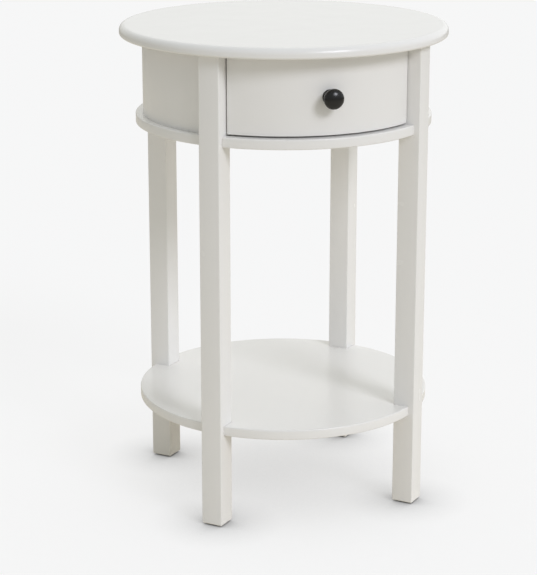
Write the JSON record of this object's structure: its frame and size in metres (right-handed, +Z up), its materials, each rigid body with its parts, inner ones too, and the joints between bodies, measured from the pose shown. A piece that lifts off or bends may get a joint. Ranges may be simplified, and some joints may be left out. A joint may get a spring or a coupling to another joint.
{
  "type": "side table with drawer",
  "caption": "Round side table with square posts, a curved drawer under the top and a round lower shelf.",
  "frame": {"origin": "on the floor, under the centre of the round top", "axes": "+Z up, the drawer opens towards -Y, +X to the right of someone facing the drawer"},
  "size_m": [0.3999, 0.4, 0.59],
  "materials": {
    "white_lacquer": "satin off-white lacquer over fibreboard and wood",
    "birch_plywood": "bare sanded plywood",
    "beech": "bare planed wood",
    "zinc_steel": "zinc plated",
    "black_enamel": "satin black",
    "nylon": "natural nylon"
  },
  "bodies": {
    "table_frame": {"apron_back": "white_lacquer", "apron_dowels": "beech", "apron_left": "white_lacquer", "apron_right": "white_lacquer", "bracket_screws": "zinc_steel", "foot_glide_back_left": "nylon", "foot_glide_back_right": "nylon", "foot_glide_front_left": "nylon", "foot_glide_front_right": "nylon", "foot_glide_nails": "zinc_steel", "glide_tape_left": "nylon", "glide_tape_right": "nylon", "guide_rail_left": "beech", "guide_rail_right": "beech", "guide_rail_screws": "zinc_steel", "housing_floor": "white_lacquer", "housing_floor_dowels": "beech", "housing_floor_screws": "zinc_steel", "kicker_rail_left": "beech", "kicker_rail_right": "beech", "kicker_rail_screws": "zinc_steel", "leg_back_left": "white_lacquer", "leg_back_right": "white_lacquer", "leg_front_left": "white_lacquer", "leg_front_right": "white_lacquer", "lower_shelf": "white_lacquer", "shelf_bracket_back_left": "zinc_steel", "shelf_bracket_back_right": "zinc_steel", "shelf_bracket_front_left": "zinc_steel", "shelf_bracket_front_right": "zinc_steel", "stop_rail": "beech", "stop_rail_screws": "zinc_steel", "table_top": "white_lacquer", "top_bracket_back_left": "zinc_steel", "top_bracket_back_right": "zinc_steel", "top_bracket_front_left": "zinc_steel", "top_bracket_front_right": "zinc_steel"},
    "drawer": {"drawer_front": "white_lacquer", "drawer_side_left": "birch_plywood", "drawer_side_right": "birch_plywood", "drawer_back": "birch_plywood", "drawer_bottom": "birch_plywood", "front_block_left": "beech", "front_block_right": "beech", "stop_tab": "beech", "stop_tab_screws": "zinc_steel", "drawer_front_dowels": "beech", "drawer_back_screws": "zinc_steel", "drawer_bottom_pins": "zinc_steel", "knob": "black_enamel", "knob_base": "black_enamel", "knob_washer": "zinc_steel", "knob_screw": "zinc_steel"}
  },
  "joints": [
    {"name": "drawer_slide", "type": "slide", "parent": "table_frame", "child": "drawer", "axis": [0, -1, 0], "range_m": [0, 0.16]}
  ]
}
